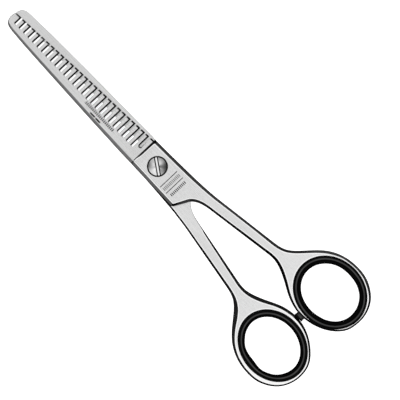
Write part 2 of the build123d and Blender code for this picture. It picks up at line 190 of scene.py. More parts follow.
def painted_reflection_head(name):
    """Domed head with a painted reflection: the light and dark sectors of its lathe-turned finish are painted into the
    colour by angle, darker towards the rim as painted shade; fine radial streaks.
    """
    N = Nodes(name)
    tc = N.n("ShaderNodeTexCoord")
    gr = N.n("ShaderNodeTexGradient", gradient_type="RADIAL")
    N.link(tc.outputs["Object"], gr.inputs[0])
    sep = N.n("ShaderNodeSeparateXYZ")
    N.link(tc.outputs["Object"], sep.inputs[0])
    flat = N.n("ShaderNodeCombineXYZ")
    N.link(sep.outputs["X"], flat.inputs["X"])
    N.link(sep.outputs["Y"], flat.inputs["Y"])
    ln = N.n("ShaderNodeVectorMath", operation="LENGTH")
    N.link(flat.outputs[0], ln.inputs[0])

    def tones(vals):
        out = []
        for a, t in vals:
            c = t / 255.0
            lin = ((c + 0.055) / 1.055) ** 2.4 if c > 0.04 else c / 12.92
            out.append(((a + 180) / 360.0, float(min(1.0, lin * TONE))))
        return out
    TONE = 1.0
    # painted reflection: the head's light and dark sectors by angle, near the centre (inner) and darker at the rim
    # (outer)
    inner = ramp(N, gr.outputs[1], tones([(-180, 160), (-165, 182), (-150, 132), (-135, 118), (-120, 145), (-105, 188),
                                          (-90, 222), (-75, 232), (-60, 232), (-45, 225), (-20, 225), (0, 215),
                                          (15, 230), (30, 222), (45, 215), (60, 206), (75, 226), (90, 248),
                                          (105, 250), (120, 245), (140, 225), (160, 190), (180, 160)]))
    outer = ramp(N, gr.outputs[1], tones([(-180, 150), (-165, 100), (-150, 80), (-135, 62), (-120, 76), (-105, 108),
                                          (-90, 148), (-75, 156), (-60, 165), (-45, 175), (-20, 200), (0, 190),
                                          (15, 160), (30, 118), (45, 118), (60, 162), (75, 202), (90, 220),
                                          (105, 225), (120, 238), (140, 225), (160, 190), (180, 150)]))
    mid = N.n("ShaderNodeMapRange")
    mid.inputs["From Min"].default_value = 1.5 * MM
    mid.inputs["From Max"].default_value = 3.0 * MM
    N.link(ln.outputs["Value"], mid.inputs["Value"])
    mix = N.n("ShaderNodeMix", data_type="RGBA")
    N.link(mid.outputs[0], mix.inputs[0])
    N.link(inner, mix.inputs[6])
    N.link(outer, mix.inputs[7])
    sc = N.n("ShaderNodeVectorMath", operation="SCALE")
    sc.inputs["Scale"].default_value = 60.0
    cmb = N.n("ShaderNodeCombineXYZ")
    N.link(gr.outputs[1], cmb.inputs["X"])
    N.link(cmb.outputs[0], sc.inputs[0])
    streak = N.n("ShaderNodeTexNoise")
    streak.inputs["Scale"].default_value = 1.0
    streak.inputs["Detail"].default_value = 5.0
    N.link(sc.outputs[0], streak.inputs["Vector"])
    m2 = N.n("ShaderNodeMix", data_type="RGBA", blend_type="MULTIPLY")
    m2.inputs[0].default_value = 1.0
    N.link(mix.outputs[2], m2.inputs[6])
    N.link(ramp(N, streak.outputs[0], [(0.30, 0.72), (0.62, 1.0)]), m2.inputs[7])
    N.link(m2.outputs[2], N.b.inputs["Base Color"])
    N.b.inputs["Metallic"].default_value = 1.0
    N.link(ramp(N, streak.outputs[0], [(0.3, 0.14), (0.7, 0.24)]), N.b.inputs["Roughness"])
    ringn = N.n("ShaderNodeTexWave", wave_type="RINGS", rings_direction="Z")
    ringn.inputs["Scale"].default_value = 900.0
    N.link(tc.outputs["Object"], ringn.inputs["Vector"])
    bp = N.n("ShaderNodeBump")
    bp.inputs["Strength"].default_value = 0.15
    bp.inputs["Distance"].default_value = 0.01 * MM
    N.link(ringn.outputs[1], bp.inputs["Height"])
    N.link(bp.outputs[0], N.b.inputs["Normal"])
    return N.mat


M_SCREW_REFLECTION = painted_reflection_head("screw_painted_reflection")


def dark_mark(name, lo=0.05, hi=0.16):
    N = Nodes(name)
    tc = N.n("ShaderNodeTexCoord")
    no = N.n("ShaderNodeTexNoise")
    no.inputs["Scale"].default_value = 3000.0
    N.link(tc.outputs["Object"], no.inputs["Vector"])
    N.link(ramp(N, no.outputs[0], [(0.35, float(lo)), (0.65, float(hi))]), N.b.inputs["Base Color"])
    N.link(ramp(N, no.outputs[0], [(0.3, 0.5), (0.7, 0.75)]), N.b.inputs["Roughness"])
    N.b.inputs["Metallic"].default_value = 0.6
    N.b.inputs["Specular IOR Level"].default_value = 0.1
    bp = N.n("ShaderNodeBump")
    bp.inputs["Strength"].default_value = 0.4
    bp.inputs["Distance"].default_value = 0.01 * MM
    N.link(no.outputs[0], bp.inputs["Height"])
    N.link(bp.outputs[0], N.b.inputs["Normal"])
    return N.mat


M_MARK = dark_mark("etched_mark", 0.015, 0.05)
M_MARK2 = dark_mark("etched_line", 0.03, 0.08)
M_MARK3 = dark_mark("etched_soft_mark", 0.20, 0.32)


# ------------------------------------------------------------------ plan curves, all in mm
def cubic(pts, t0=None, t1=None, step=0.35):
    """Points along a cubic spline through pts, with end directions t0 and t1."""
    P = np.array(pts, float)
    n = len(P)
    h = np.linalg.norm(np.diff(P, axis=0), axis=1)
    A = np.zeros((n, n))
    B = np.zeros((n, 2))
    for i in range(1, n - 1):
        A[i, i - 1], A[i, i], A[i, i + 1] = h[i], 2 * (h[i - 1] + h[i]), h[i - 1]
        B[i] = 3 * (h[i] * (P[i] - P[i - 1]) / h[i - 1] + h[i - 1] * (P[i + 1] - P[i]) / h[i])
    if t0 is None:
        A[0, 0], A[0, 1], B[0] = 2, 1, 3 * (P[1] - P[0]) / h[0]
    else:
        A[0, 0], B[0] = 1, np.array(t0, float) / np.linalg.norm(t0)
    if t1 is None:
        A[-1, -1], A[-1, -2], B[-1] = 2, 1, 3 * (P[-1] - P[-2]) / h[-1]
    else:
        A[-1, -1], B[-1] = 1, np.array(t1, float) / np.linalg.norm(t1)
    M = np.linalg.solve(A, B)
    out = []
    for i in range(n - 1):
        k = max(1, int(math.ceil(h[i] / step)))
        for j in range(k):
            u = j / k
            out.append((2 * u ** 3 - 3 * u ** 2 + 1) * P[i] + (u ** 3 - 2 * u ** 2 + u) * h[i] * M[i]
                       + (-2 * u ** 3 + 3 * u ** 2) * P[i + 1] + (u ** 3 - u ** 2) * h[i] * M[i + 1])
    out.append(P[-1])
    return np.array(out)


RING_END = {
    "comb": [[(-76, -27.37), (-80, -26.95), (-83.6, -25.5), (-87, -22.9), (-89.2, -19.3), (-90.05, -14.6)],
             [(-90.05, -14.6), (-89.2, -9.3), (-86.6, -5.8), (-83.9, -3.7), (-80, -1.87), (-73.6, -0.72)]],
    "plain": [[(-76, -27.37), (-80, -26.9), (-83.5, -25.4), (-86.8, -22.7), (-88.9, -19.2), (-89.8, -14.6)],
              [(-89.8, -14.6), (-88.8, -9.4), (-86.1, -5.95), (-83.6, -3.95), (-80, -2.0), (-73.6, -0.72)]]}
STEP_X = 7.65


def handle_plan(side):
    shank, inner = (-1, -0.1525), (1, 0.1636)
    segs = [cubic([(7.60, -4.8), (7.20, -5.62), (6.3, -6.0)], None, (-1, -0.1)),
            cubic([(6.3, -6.0), (-10, -6.66), (-24, -7.88)], (-1, -0.035), shank, 0.6),
            cubic([(-24, -7.88), (-48, -11.54)], shank, shank, 0.8),
            cubic([(-48, -11.54), (-53, -12.93), (-57, -16.35), (-60.5, -20.4), (-64.5, -24.03),
                   (-69.5, -26.45), (-76, -27.37)], shank, (-1, 0)),
            cubic(RING_END[side][0], (-1, 0), (0, 1)),
            cubic(RING_END[side][1], (0, 1), (1, 0)),
            cubic([(-73.6, -0.72), (-70, -1.10), (-66, -2.36), (-62, -4.36), (-58, -6.22),
                   (-53.2, -7.5), (-48, -7.0)], (1, 0), inner),
            cubic([(-48, -7.0), (-25, -3.237)], inner, inner, 0.8),
            cubic([(-25, -3.237), (-20, -1.95), (-17.2, 0.1), (-16, 2.28)], inner, (0.474, 0.881)),
            cubic([(-16, 2.28), (-14.39, 5.27)], (0.474, 0.881), (0.474, 0.881)),
            cubic([(-14.39, 5.27), (-13.2, 6.2)], (0.474, 0.881), (1, 0), 0.2),
            cubic([(-13.2, 6.2), (0, 6.17), (7.60, 6.10)], (1, 0), (1, -0.012), 0.6),
            cubic([(7.60, 6.10), (7.60, -4.8)], (0, -1), (0, -1), 0.8)]
    return np.concatenate([g[:-1] for g in segs])


# width of the edge bevel along the outline: x, y, width, tilt from flat in degrees
BAND_COMB = [(6.3, -6.0, 1.0, 47.5), (-10, -6.66, 1.05, 48), (-20, -7.4, 0.92, 48), (-30, -8.8, 0.80, 48),
             (-40, -10.3, 0.80, 50), (-48, -11.54, 0.92, 50), (-53, -12.93, 0.85, 54), (-57, -16.35, 0.80, 54),
             (-60.5, -20.4, 0.90, 48), (-65, -24.3, 0.92, 48), (-70, -26.6, 0.75, 48), (-76, -27.37, 0.75, 48),
             (-82, -26.3, 0.88, 49), (-87, -22.9, 0.70, 56), (-90, -14.6, 0.46, 54), (-88.9, -9.1, 0.56, 56),
             (-84, -3.75, 0.50, 58), (-80, -1.87, 0.50, 60), (-73.6, -0.72, 0.60, 60), (-68, -1.6, 0.72, 60),
             (-62, -4.36, 0.92, 60), (-58, -6.22, 1.0, 60), (-53.2, -7.5, 0.95, 60), (-48, -7.0, 0.85, 60),
             (-40, -5.69, 0.82, 60), (-33, -4.55, 0.74, 60), (-25, -3.237, 0.74, 60), (-20, -1.95, 0.85, 60),
             (-17.2, 0.1, 0.98, 60), (-16, 2.28, 0.92, 58), (-14.39, 5.27, 0.78, 55), (-13.2, 6.2, 1.0, 44),
             (0, 6.17, 1.12, 41.5), (7.4, 6.10, 1.12, 41.5), (7.6, 5.6, 0.50, 6), (7.6, 4.6, 0.26, 6), (7.6, 3.2, 0.34, 12), (7.6, 2.3, 0.70, 12),
             (7.6, 1.0, 0.78, 18), (7.6, -2.0, 0.80, 32), (7.6, -4.0, 0.82, 38), (7.6, -4.8, 0.86, 44)]
BAND_PLAIN = [(6.3, -6.0, 0.4, 50), (-13, -6.85, 0.52, 52), (-20, -7.4, 0.54, 52), (-27, -8.35, 0.60, 56),
              (-34, -9.4, 0.74, 60), (-44, -10.95, 0.80, 58), (-51, -12.3, 0.88, 56), (-53, -12.93, 1.1, 55),
              (-56, -15.35, 1.55, 54), (-58, -17.5, 1.5, 54), (-61, -21.0, 1.15, 54), (-64.5, -24.03, 0.92, 54),
              (-69.5, -26.45, 0.75, 54), (-76, -27.37, 0.60, 54), (-82, -26.1, 0.52, 54), (-88, -20.9, 0.42, 52),
              (-89.8, -14.6, 0.44, 52), (-87.5, -7.5, 0.53, 54), (-83.6, -3.95, 0.60, 56), (-80, -2.0, 0.68, 58),
              (-76, -0.95, 0.82, 58), (-70, -1.10, 0.98, 57), (-64, -3.3, 1.0, 56), (-60, -5.37, 1.2, 55),
              (-57, -6.6, 1.22, 55), (-53.2, -7.5, 1.0, 55), (-48, -7.0, 0.88, 55), (-40, -5.69, 0.76, 56),
              (-34, -4.7, 0.55, 54), (-29, -3.9, 0.40, 52), (-26, -3.4, 0.22, 50), (-22, -2.6, 0.12, 45),
              (-17.2, 0.1, 0.10, 45), (-13.2, 6.2, 0.2, 45), (0, 6.17, 0.3, 45), (7.65, 6.1, 0.3, 45),
              (7.65, -4.8, 0.3, 45)]


def along(loop, table):
    """Bevel width and tilt at the middle of every edge of a closed loop."""
    nxt = np.roll(loop, -1, axis=0)
    seg = np.linalg.norm(nxt - loop, axis=1)
    s = np.concatenate([[0], np.cumsum(seg)])
    total = s[-1]
    keys = []
    for x, y, w, t in table:
        i = int(np.argmin(np.hypot(loop[:, 0] - x, loop[:, 1] - y)))
        keys.append((s[i], w, t))
    keys.sort()
    ks = np.array([keys[-1][0] - total] + [k[0] for k in keys] + [keys[0][0] + total])
    kw = np.array([keys[-1][1]] + [k[1] for k in keys] + [keys[0][1]])
    kt = np.array([keys[-1][2]] + [k[2] for k in keys] + [keys[0][2]])
    mid = (s[:-1] + s[1:]) / 2
    return np.interp(mid, ks, kw), np.interp(mid, ks, kt)


def inset(loop, w):
    """Move each edge of a counter-clockwise loop inwards by its own width."""
    n = len(loop)
    e = np.roll(loop, -1, axis=0) - loop
    ln = np.linalg.norm(e, axis=1)
    nrm = np.stack([-e[:, 1], e[:, 0]], 1) / ln[:, None]
    out = np.zeros_like(loop)
    for i in range(n):
        n1, n2, w1, w2 = nrm[i - 1], nrm[i], w[i - 1], w[i]
        c = n1[0] * n2[1] - n1[1] * n2[0]
        if abs(c) < 0.30:
            m = n1 + n2
            m = m / np.linalg.norm(m)
            out[i] = loop[i] + m * (w1 + w2) / 2 / max(0.5, float(m @ n2))
        else:
            d = np.linalg.solve(np.array([n1, n2]), np.array([w1, w2]))
            out[i] = loop[i] + d
    # where the inset folds over itself, pull the folded points together
    for _ in range(60):
        e2 = np.roll(out, -1, axis=0) - out
        bad = [i for i in range(n) if float(e2[i] @ e[i]) < 0]
        if not bad:
            break
        for i in bad:
            j = (i + 1) % n
            m = (out[i] + out[j]) / 2
            out[i] = m - e[i] / ln[i] * 1e-3
            out[j] = m + e[i] / ln[i] * 1e-3
    return out


def inside(pt, loop):
    x, y = pt
    xa, ya = loop[:, 0], loop[:, 1]
    xb, yb = np.roll(xa, -1), np.roll(ya, -1)
    hit = ((ya > y) != (yb > y)) & (x < (xb - xa) * (y - ya) / (yb - ya + 1e-30) + xa)
    return bool(hit.sum() % 2)


class Mesh:
    def __init__(self):
        self.v, self.f, self.m = [], [], []

    def ring(self, pts, z):
        start = len(self.v)
        z = np.broadcast_to(np.asarray(z, float), (len(pts),))
        self.v += [(float(p[0]), float(p[1]), float(q)) for p, q in zip(pts, z)]
        return list(range(start, start + len(pts)))

    def strip(self, lo, hi, mat=0):
        """Faces between two rings of a counter-clockwise loop, facing outwards when lo is below hi."""
        n = len(lo)
        for i in range(n):
            j = (i + 1) % n
            self.f.append((lo[i], lo[j], hi[j], hi[i]))
            self.m.append(int(mat[i]) if hasattr(mat, "__len__") else mat)

    def fill(self, loops, holes, zfun, up=True, mat=0, extra=(), pick=None):
        """Triangles inside the ring of indices loops[0], less the rings in holes."""
        from mathutils.geometry import delaunay_2d_cdt
        idx, edges = [], []
        for ring in [loops] + holes:
            s = len(idx)
            idx += ring
            n = len(ring)
            edges += [(s + i, s + (i + 1) % n) for i in range(n)]
        pts = [Vector((self.v[i][0], self.v[i][1])) for i in idx]
        for line in extra:                                 # crease lines, as rows of (x, y)
            s = len(pts)
            pts += [Vector(p) for p in line]
            edges += [(s + i, s + i + 1) for i in range(len(line) - 1)]
        outer = np.array([self.v[i][:2] for i in loops])
        hs = [np.array([self.v[i][:2] for i in h]) for h in holes]
        vs, es, fs, ov, oe, of_ = delaunay_2d_cdt(pts, edges, [], 0, 1e-7)
        remap = []
        for k, p in enumerate(vs):
            known = [q for q in ov[k] if q < len(idx)]
            if known:
                remap.append(idx[known[0]])
            else:
                self.v.append((p[0], p[1], zfun(p[0], p[1])))
                remap.append(len(self.v) - 1)
        for f in fs:
            c = sum((vs[k] for k in f), Vector((0, 0))) / len(f)
            if not inside(c, outer) or any(inside(c, h) for h in hs):
                continue
            ids = [remap[k] for k in f]
            if len(set(ids)) < 3:
                continue
            a, b, d = (np.array(self.v[k][:2]) for k in ids[:3])
            ccw = (b[0] - a[0]) * (d[1] - a[1]) - (b[1] - a[1]) * (d[0] - a[0]) > 0
            if ccw != up:
                ids = ids[::-1]
            self.f.append(tuple(ids))
            self.m.append(pick(c[0], c[1]) if pick else mat)


def build(name, parts, mats, body, stands=None, angle=28.0):
    import bmesh
    me = bpy.data.meshes.new(name)
    v, f, mi = [], [], []
    for p in parts:
        s = len(v)
        v += [(a * MM, b * MM, c * MM) for a, b, c in p.v]
        for q, k in zip(p.f, p.m):
            if len(set(q)) > 2:
                f.append(tuple(i + s for i in q))
                mi.append(k)
    me.from_pydata(v, [], f)
    for m in mats:
        me.materials.append(m)
    me.polygons.foreach_set("material_index", mi)
    bm = bmesh.new()
    bm.from_mesh(me)
    bmesh.ops.remove_doubles(bm, verts=bm.verts, dist=2e-7)
    bmesh.ops.dissolve_degenerate(bm, edges=bm.edges, dist=1e-8)
    loose = [e for e in bm.edges if not e.link_faces]
    bmesh.ops.delete(bm, geom=loose, context="EDGES")
    gaps = [e for e in bm.edges if len(e.link_faces) == 1]
    if gaps:
        bmesh.ops.holes_fill(bm, edges=gaps, sides=0)
    open_edges = sum(1 for e in bm.edges if len(e.link_faces) != 2)
    bm.to_mesh(me)
    bm.free()
    me.validate()
    for p in me.polygons:
        p.use_smooth = True
    me.set_sharp_from_angle(angle=math.radians(angle))
    o = bpy.data.objects.new(name, me)
    scene.collection.objects.link(o)
    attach(o, body)
    if stands:
        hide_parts(stands)
    print("piece", name, len(me.vertices), len(me.polygons), "open edges", open_edges)
    return o


def slab(loop, ztop, zbot, w=0.0, drop=0.0, rim=0.0, rim_drop=0.0, face=0.0, face_drop=0.0, under=0.0,
         under_drop=0.0, grow=0.0, wall=1, walls=(), cut=False, face_mat=0):
    """A flat forging drawn by a plan loop. Round the top: a steep outer facet (rim), the bevel (w in all, drop),
    a shallow lead-in facet (face); a bevel underneath. All are given per edge. walls are holes, each a list of
    (loop, z or height function) from the top face to the bottom face. wall is the material of each edge's bevel;
    with cut, the upright below a bevel of material 2 (a sawn slot) has that material too."""
    n = len(loop)

    def arr(a):
        return np.broadcast_to(np.asarray(a, float), (n,)).copy()
    q = [arr(a) for a in (w, drop, rim, rim_drop, face, face_drop, under, under_drop, grow, wall)]
    area = 0.5 * np.sum(loop[:, 0] * np.roll(loop[:, 1], -1) - np.roll(loop[:, 0], -1) * loop[:, 1])
    if area < 0:
        loop = loop[::-1].copy()
        q = [np.roll(a[::-1], -1) for a in q]
    w, drop, rim, rim_drop, face, face_drop, under, under_drop, grow, wall = q
    wall = wall.astype(int)
    side = np.where((wall == 2) & cut, 2, 3)           # upright part of the edge, in darkened steel: painted shade (near-black below a sawn slot's bevel)
    mid = (loop + np.roll(loop, -1, axis=0)) / 2
    side = np.where((mid[:, 0] < -60) & (np.abs(mid[:, 1]) < 6), 1, side)     # uprights that face the other ring take the darker bevel steel: painted shade between the rings

    def vert(a):
        return np.maximum(a, np.roll(a, 1))
    loop = inset(loop, -grow)
    M = Mesh()
    rim = np.minimum(rim, w * 0.6)
    C2 = inset(loop, rim)
    D = inset(loop, w)
    E = inset(loop, w + face)
    A = inset(loop, under)
    zt = np.array([ztop(*p) for p in loop])
    zE = np.array([ztop(*p) for p in E])
    zD = np.array([ztop(*p) for p in D]) - vert(face_drop)
    zC2 = zt - vert(face_drop) - vert(drop)
    zC = zC2 - vert(rim_drop)
    zA = np.array([zbot(*p) for p in A])
    zB = np.array([zbot(*p) for p in loop]) + vert(under_drop)
    zC = np.maximum(zC, zB + 0.05)
    zC2 = np.maximum(zC2, zC)
    rA, rB = M.ring(A, zA), M.ring(loop, zB)
    rC, rC2, rD, rE = M.ring(loop, zC), M.ring(C2, zC2), M.ring(D, zD), M.ring(E, zE)
    M.strip(rA, rB, 1)
    M.strip(rB, rC, side)
    M.strip(rC, rC2, wall)
    M.strip(rC2, rD, wall)
    M.strip(rD, rE, face_mat)
    tops, bots = [], []
    for stack in walls:
        rings = []
        for h, z in stack:
            if 0.5 * np.sum(h[:, 0] * np.roll(h[:, 1], -1) - np.roll(h[:, 0], -1) * h[:, 1]) < 0:
                h = h[::-1]
            rings.append(M.ring(h, [z(*p) if callable(z) else z for p in h]))
        for i, (hi_, lo_) in enumerate(zip(rings[:-1], rings[1:])):
            # the outer facet round a ring's hole takes face_mat, the steel with the painted highlight
            M.strip(hi_, lo_, face_mat if i == 0 and stack[0][0][0][0] < -50 else 0)
        tops.append(rings[0])
        bots.append(rings[-1])
    M.fill(rE, tops, ztop, True)
    M.fill(rA, bots, zbot, False)
    return M


def flip_xy(M):
    """Half a turn about the X line in the mid plane."""
    M.v = [(x, -y, 6.0 - z) for x, y, z in M.v]
    return M


def circle(cx, cy, r, n=64):
    t = np.linspace(0, 2 * math.pi, n, endpoint=False)
    return np.stack([cx + r * np.cos(t), cy + r * np.sin(t)], 1)


def oval(cx, cy, a, b, tilt, n=160):
    t = np.linspace(0, 2 * math.pi, n, endpoint=False)
    c, s = math.cos(math.radians(tilt)), math.sin(math.radians(tilt))
    return np.stack([cx + a * np.cos(t) * c - b * np.sin(t) * s, cy + a * np.cos(t) * s + b * np.sin(t) * c], 1)


# heights of the comb half's handle: own layer at the pivot, centred on the mid plane at the ring
def ease(x, x0, x1):
    u = min(1.0, max(0.0, (x0 - x) / (x0 - x1)))
    return u


def hi_z(x, y):
    return 6.0 - 0.9 * ease(x, -18.0, -50.0)


def lo_z(x, y):
    return 3.02 - 2.12 * ease(x, -18.0, -50.0)


def ph_top(x, y):
    return 6.0 - lo_z(x, y)


def ph_low(x, y):
    return 6.0 - hi_z(x, y)


HOLE_C = {"comb": (-75.2, -13.95), "plain": (-74.92, 14.0)}
HOLE = {"comb": (11.16, 9.32), "plain": (11.06, 8.93)}
LIP = {"comb": (14.16, 12.31), "plain": (13.86, 11.60)}
TILT = {"comb": 3.4, "plain": -3.4}

def tan(t):
    return np.tan(np.radians(t))


def gap_to(loop, pts):
    """Distance from each point to a closed polyline, and the index of the nearest edge."""
    a, b = loop, np.roll(loop, -1, axis=0)
    d, k = [], []
    for p in pts:
        e = b - a
        u = np.clip(((p - a) * e).sum(1) / np.maximum((e * e).sum(1), 1e-12), 0, 1)
        r = np.linalg.norm(a + e * u[:, None] - p, axis=1)
        k.append(int(np.argmin(r)))
        d.append(float(r.min()))
    return np.array(d), np.array(k)


def ring_faces(side, loop, w, face):
    """Share the flat between bevel and insert: returns the outer facet's width per edge and the hole's walls."""
    top, low = (hi_z, lo_z) if side == "comb" else (ph_top, ph_low)
    (la, lb), (ha, hb), t = LIP[side], HOLE[side], TILT[side]
    lip = oval(*HOLE_C[side], la - 0.12, lb - 0.12, t, 220)
    mid = (loop + np.roll(loop, -1, axis=0)) / 2
    d, _ = gap_to(lip, mid)
    face = np.where(mid[:, 0] < -55, np.minimum(face, np.maximum(0.02, (d - w - 0.12) * 0.48)), face)
    d2, k = gap_to(loop, lip)
    room = np.clip((d2 - w[k] - 0.12) * 0.48, 0.02, 0.54)
    c = np.array(HOLE_C[side])
    r = lip - c
    out = c + r * (1 + room / np.linalg.norm(r, axis=1))[:, None]
    dip = np.interp(room, [0.02, 0.54], [0.004, 0.115])

    def lip_z(x, y):
        i = int(np.argmin(np.hypot(lip[:, 0] - x, lip[:, 1] - y)))
        return top(x, y) - dip[i]
    deep = oval(*HOLE_C[side], ha + 1.45, hb + 1.45, t, 220)
    return face, [(out, top), (lip, lip_z), (deep, lambda x, y: top(x, y) - 0.12), (deep, low)]


def ringed(x):
    """Width of the shallow lead-in facet, whose steel carries a painted highlight: narrow along the shank, broad and
    bright round the ring.
    """
    return np.interp(-np.asarray(x), [40, 62, 70, 90], [0.26, 0.34, 0.50, 0.50])


# ------------------------------------------------------------------ comb half
loop = handle_plan("comb")
w, t = along(loop, BAND_COMB)
mid_x = (loop[:, 0] + np.roll(loop[:, 0], -1)) / 2
mid_y = (loop[:, 1] + np.roll(loop[:, 1], -1)) / 2
w = w + np.where(w < 0.65, 0.12, 0.10) + np.where(mid_x < -70, 0.05, 0.0)
under = np.where(mid_x < -18.5, 0.72, 0.0)
rim = np.where((mid_y > 5.5) & (mid_x > -14), 0.20, 0.10)
rim_drop = rim * 2.2
a, b = HOLE["comb"]
face, ring_hole = ring_faces("comb", loop, w, ringed(mid_x))
seat = [(circle(0, 0, 3.82), hi_z), (circle(0, 0, 3.82), 4.7), (circle(0, 0, 2.55), 4.7), (circle(0, 0, 2.55), lo_z)]
shade = np.where((mid_x > -34) & (mid_y > -4.75) & (mid_y < 6.05), 4, 1)   # painted shade: the crotch and step corners take the darkened steel
shade = np.where((mid_x > 6.6) & (mid_y < 6.05), 4, shade)
handle = slab(loop, hi_z, lo_z, w, (w - rim) * tan(t), rim, rim_drop, face, face * 0.21, under, under, GROW,
              shade, [ring_hole, seat], face_mat=5)

SPINE = [(8, 6.09), (15, 6.07), (20, 5.98), (25, 5.90), (30, 5.80), (35, 5.68), (40, 5.56),
         (45, 5.43), (50, 5.29), (55, 5.17), (60, 5.02), (65, 4.84), (70, 4.57)]
SPINE_TIP = [(70, 4.57), (72, 4.40), (73, 4.19), (74, 3.70), (74.5, 3.15), (74.95, 2.25), (75.15, 0.9)]
PITCH, GAP, FIRST = 2.3154, 0.66, 11.92


def tooth_y(x):
    return -5.30 + 0.0621 * (x - 8.0) + float(np.interp(x, [24, 43, 63, 75], [-0.09, -0.20, 0.07, 0.13]))


def root_y(x):
    return 1.68 + 0.0050 * (x - 11.5)


def edge_y(x):
    return -1.30 + 0.0039 * (x - 10.0)


def comb_top(x, y):
    return 5.50 - 0.0133 * (x - 7.3) + 0.090 * y


def comb_low(x, y):
    return 3.02


def comb_blade():
    cols = ("w", "drop", "rim", "rim_drop", "face", "face_drop", "grow", "wall")
    pts, rows = [], []

    def put(p, **kw):
        pts.append(p)
        rows.append([kw.get(c, 1 if c == "wall" else 0.0) for c in cols])

    def band(x):
        k = float(np.interp(x, [7, 15, 25, 40, 55, 65, 72, 73.4, 74.2, 74.7, 75.2],
                            [1.20, 1.20, 1.13, 1.08, 1.0, 0.93, 0.78, 0.70, 0.42, 0.24, 0.16]))
        r = min(0.20, k * 0.4)
        return dict(w=k, drop=(k - r) * 0.945, rim=r, rim_drop=r * 2.1, face=0.22, face_drop=0.045, grow=GROW)
    X0 = 7.0
    put((X0, tooth_y(X0)))                             # start face, hidden in the boss
    for p in np.concatenate([cubic([(X0, 6.085)] + SPINE, (1, 0), (1, -0.06), 0.8)[:-1],
                             cubic(SPINE_TIP, (1, -0.06), (0, -1), 0.25)]):
        put(tuple(p), **band(p[0]))
    for p in cubic([(75.15, 0.9), (75.05, -0.35), (74.45, tooth_y(74.45))], (0, -1), (-1, -0.6), 0.25)[1:-1]:
        put(tuple(p), w=0.16, drop=0.2, face=0.3, face_drop=0.05, grow=0.0)
    # tooth end: steep bevel in near-black steel (painted shade), then the bright shallow grind
    tip = dict(w=0.60, drop=1.0, face=0.55, face_drop=0.128, wall=2)
    side = dict(w=0.53, drop=0.80, wall=2)             # edge of each tooth that faces the rings, in near-black steel (painted shade)
    side_low = dict(w=0.53, drop=0.48, wall=1)         # the same edge where the plain blade lies under it
    put((74.45, tooth_y(74.45)), **tip)
    for k in range(26, -1, -1):
        x1 = FIRST + PITCH * k
        x0 = x1 - GAP
        r = 0.16
        yr = root_y((x0 + x1) / 2)
        if tooth_y(x1) < -1.9:
            put((x1, tooth_y(x1)), **side_low)
            put((x1, -1.45), **side)
        else:
            put((x1, tooth_y(x1)), **side)
        for j in range(0, 6):
            q = math.pi / 2 * j / 6
            f = 1 - j / 6
            put((x1 - r + r * math.cos(q), yr - r + r * math.sin(q)), w=0.53 * f, drop=0.80 * f, wall=2)
        for j in range(0, 7):
            q = math.pi / 2 * (1 + j / 6)
            put((x0 + r + r * math.cos(q), yr - r + r * math.sin(q)), wall=2)
        put((x0, tooth_y(x0)), **tip)
    put((9.9, tooth_y(9.9)), **side)
    for j in range(0, 9):
        q = math.pi * j / 8
        put((9.45 + 0.45 * math.cos(q), -0.65 + 0.45 * math.sin(q)), w=0.38 if j < 8 else 0, drop=0.60 if j < 8 else 0,
            wall=2)
    put((9.0, tooth_y(9.0)), **tip)
    r = np.array(rows, float)
    return slab(np.array(pts), comb_top, comb_low, cut=True, **{c: r[:, i] for i, c in enumerate(cols)})


build("comb_half_look", [handle, comb_blade()], [M_COMB, M_BEVEL, M_SLOT_SHADE, M_SIDE_SHADE, M_SHADE, M_FACET_HIGHLIGHT], "comb", "comb_half", 8)

# ------------------------------------------------------------------ plain half
loop = handle_plan("plain")
w, t = along(loop, BAND_PLAIN)
mid_x = (loop[:, 0] + np.roll(loop[:, 0], -1)) / 2
loop = loop * np.array([1, -1])
mid_y = (loop[:, 1] + np.roll(loop[:, 1], -1)) / 2
t = np.where(w < 0.62, np.maximum(t, 58), t)
shown = np.where(mid_x < -12.0, w + np.where(w < 0.62, 0.14, 0.08) + np.where(mid_x < -70, 0.05, 0.0), 0.0)
shown = np.where((mid_x > -28) & (np.abs(mid_y) < 3.9), w, shown)
shown = np.where((mid_x > -17.5) & (np.abs(mid_y) < 6.3), 0.0, shown)
shown = np.where((mid_x > -12.0) & (mid_x < 6.0) & (mid_y > 5.5), 0.5, shown)
a, b = HOLE["plain"]
face, ring_hole = ring_faces("plain", loop, shown, np.where(shown > 0.3, ringed(mid_x), 0.0))
p_handle = slab(loop, ph_top, ph_low, shown, shown * tan(t), 0.0, 0.0, face, face * 0.21, 0.72, 0.72,
                np.where(mid_x < -17, GROW, 0.0), 1, [ring_hole], face_mat=4)

BACK = [(8, -6.09), (15, -5.98), (20, -5.87), (30, -5.68), (40, -5.47), (50, -5.18), (60, -4.86), (70, -4.38)]
BACK_TIP = [(70, -4.38), (72.6, -4.1), (73.8, -3.5), (74.35, -2.85), (74.75, -1.9), (75.0, -1.05)]


def plain_top(x, y):
    return 2.98


def plain_low(x, y):
    return max(0.0, 6.0 - comb_top(x, -y))


